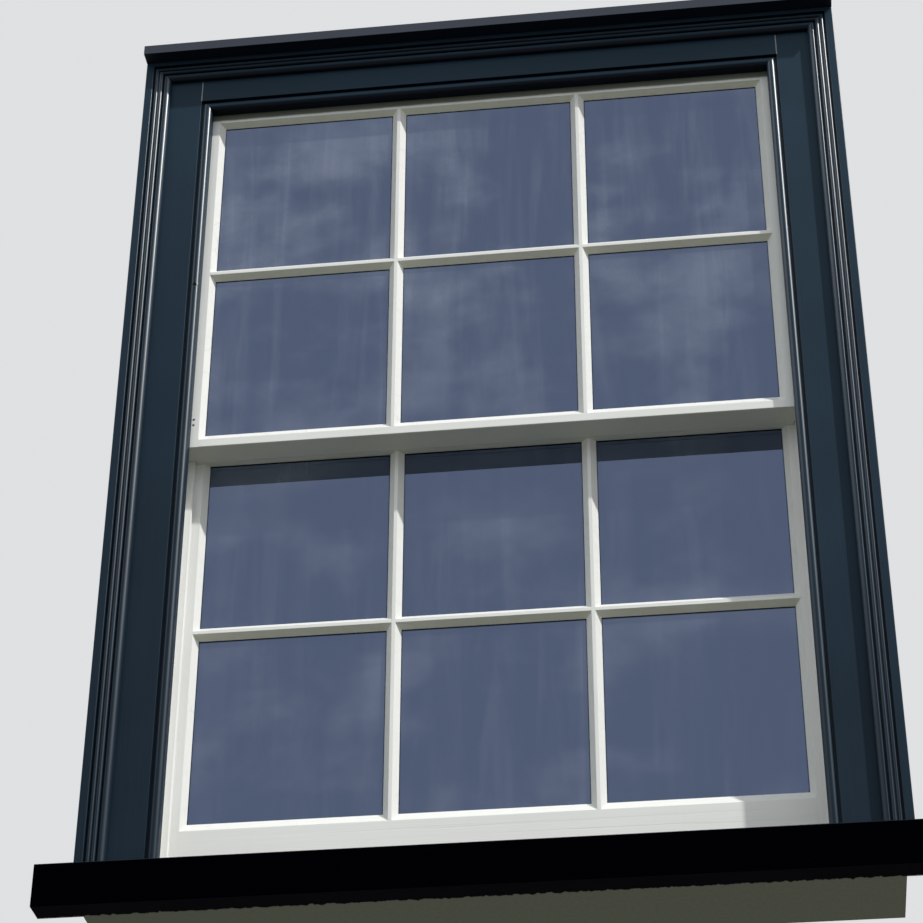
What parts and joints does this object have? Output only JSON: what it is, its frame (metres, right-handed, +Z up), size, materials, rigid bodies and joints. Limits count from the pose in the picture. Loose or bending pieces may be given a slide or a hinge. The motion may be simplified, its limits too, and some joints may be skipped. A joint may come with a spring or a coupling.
{
  "type": "sash window",
  "caption": "Wooden box sash window with moulded outer frame, projecting sill and drip cap; both multi-pane sashes slide on cords, pulleys and hidden weights.",
  "frame": {"origin": "middle of the box that holds the whole window, at its base under the sill", "axes": "+X to the right seen from the street, +Y from the street into the room, +Z up"},
  "size_m": [1.24, 0.1758, 1.563],
  "materials": {
    "dark_paint": "blue-black gloss paint on timber, brushed",
    "white_paint": "white gloss paint on timber, brushed",
    "bare_softwood": "unpainted sawn softwood, aged",
    "painted_putty": "white painted glazing putty",
    "pane_glass": "clear, slightly wavy",
    "aged_brass": "aged, brushed",
    "wheel_brass": "turned, worn in the groove",
    "rusty_iron": "rough cast, rusted",
    "cotton_cord": "braided, waxed",
    "screw_brass": "turned",
    "cream_knob": "glazed"
  },
  "bodies": {
    "frame": {"sill": "dark_paint", "pulley_stile_left": "white_paint", "pulley_stile_right": "white_paint", "pocket_pieces": "white_paint", "head_board": "bare_softwood", "outer_lining_left": "dark_paint", "outer_lining_right": "dark_paint", "outer_lining_head": "dark_paint", "inner_lining_left": "white_paint", "inner_lining_right": "white_paint", "inner_lining_head": "white_paint", "back_lining_left": "bare_softwood", "back_lining_right": "bare_softwood", "parting_slips": "bare_softwood", "architrave_left": "dark_paint", "architrave_right": "dark_paint", "architrave_head": "dark_paint", "drip_cap": "dark_paint", "parting_bead_left": "white_paint", "parting_bead_right": "white_paint", "parting_bead_head": "white_paint", "staff_bead_left": "white_paint", "staff_bead_right": "white_paint", "staff_bead_head": "white_paint", "staff_bead_sill": "white_paint", "pulley_cases": "aged_brass", "frame_screws": "screw_brass", "upper_cords": "cotton_cord", "lower_cords": "cotton_cord"},
    "upper_sash": {"upper_stile_left": "white_paint", "upper_stile_right": "white_paint", "upper_top_rail": "white_paint", "upper_meeting_rail": "white_paint", "upper_bars": "white_paint", "upper_cross_bars": "white_paint", "upper_panes": "pane_glass", "upper_putty": "painted_putty", "fastener_keep": "aged_brass", "keep_screws": "screw_brass"},
    "lower_sash": {"lower_stile_left": "white_paint", "lower_stile_right": "white_paint", "lower_meeting_rail": "white_paint", "lower_bottom_rail": "white_paint", "lower_bars": "white_paint", "lower_cross_bars": "white_paint", "lower_panes": "pane_glass", "lower_putty": "painted_putty", "fastener_base": "aged_brass", "sash_lifts": "aged_brass", "lower_screws": "screw_brass"},
    "fastener": {"fastener_arm": "aged_brass", "fastener_knob": "cream_knob"},
    "upper_left_wheel_body": {"upper_left_wheel": "wheel_brass"},
    "upper_right_wheel_body": {"upper_right_wheel": "wheel_brass"},
    "lower_left_wheel_body": {"lower_left_wheel": "wheel_brass"},
    "lower_right_wheel_body": {"lower_right_wheel": "wheel_brass"},
    "upper_left_weight_body": {"upper_left_weight": "rusty_iron"},
    "upper_right_weight_body": {"upper_right_weight": "rusty_iron"},
    "lower_left_weight_body": {"lower_left_weight": "rusty_iron"},
    "lower_right_weight_body": {"lower_right_weight": "rusty_iron"}
  },
  "joints": [
    {"name": "upper_sash_slide", "type": "slide", "parent": "frame", "child": "upper_sash", "axis": [0, 0, -1], "range_m": [0, 0.57], "deforming": ["upper_cords"]},
    {"name": "lower_sash_slide", "type": "slide", "parent": "frame", "child": "lower_sash", "axis": [0, 0, 1], "range_m": [0, 0.575], "deforming": ["lower_cords"]},
    {"name": "fastener_turn", "type": "hinge", "parent": "lower_sash", "child": "fastener", "pos_m": [0.018, 0.0373, 0.802], "axis": [0, 0, -1], "range_deg": [0, 90]},
    {"name": "upper_left_weight_slide", "type": "slide", "parent": "frame", "child": "upper_left_weight_body", "axis": [0, 0, 1], "range_m": [0, 0.57]},
    {"name": "upper_left_wheel_turn", "type": "hinge", "parent": "frame", "child": "upper_left_wheel_body", "pos_m": [-0.49075, -0.0067, 1.386], "axis": [0, 1, 0], "range_deg": [0, 1307]},
    {"name": "upper_right_weight_slide", "type": "slide", "parent": "frame", "child": "upper_right_weight_body", "axis": [0, 0, 1], "range_m": [0, 0.57]},
    {"name": "upper_right_wheel_turn", "type": "hinge", "parent": "frame", "child": "upper_right_wheel_body", "pos_m": [0.49075, -0.0067, 1.386], "axis": [0, 1, 0], "range_deg": [-1307, 0]},
    {"name": "lower_left_weight_slide", "type": "slide", "parent": "frame", "child": "lower_left_weight_body", "axis": [0, 0, -1], "range_m": [0, 0.575]},
    {"name": "lower_left_wheel_turn", "type": "hinge", "parent": "frame", "child": "lower_left_wheel_body", "pos_m": [-0.49075, 0.0417, 1.386], "axis": [0, 1, 0], "range_deg": [-1318, 0]},
    {"name": "lower_right_weight_slide", "type": "slide", "parent": "frame", "child": "lower_right_weight_body", "axis": [0, 0, -1], "range_m": [0, 0.575]},
    {"name": "lower_right_wheel_turn", "type": "hinge", "parent": "frame", "child": "lower_right_wheel_body", "pos_m": [0.49075, 0.0417, 1.386], "axis": [0, 1, 0], "range_deg": [0, 1318]}
  ],
  "couplings": [
    {"joint": "upper_left_weight_slide", "follows": "upper_sash_slide", "ratio": 1},
    {"joint": "upper_left_wheel_turn", "follows": "upper_sash_slide", "rad_per_m": 40},
    {"joint": "upper_right_weight_slide", "follows": "upper_sash_slide", "ratio": 1},
    {"joint": "upper_right_wheel_turn", "follows": "upper_sash_slide", "rad_per_m": -40},
    {"joint": "lower_left_weight_slide", "follows": "lower_sash_slide", "ratio": 1},
    {"joint": "lower_left_wheel_turn", "follows": "lower_sash_slide", "rad_per_m": -40},
    {"joint": "lower_right_weight_slide", "follows": "lower_sash_slide", "ratio": 1},
    {"joint": "lower_right_wheel_turn", "follows": "lower_sash_slide", "rad_per_m": 40}
  ]
}
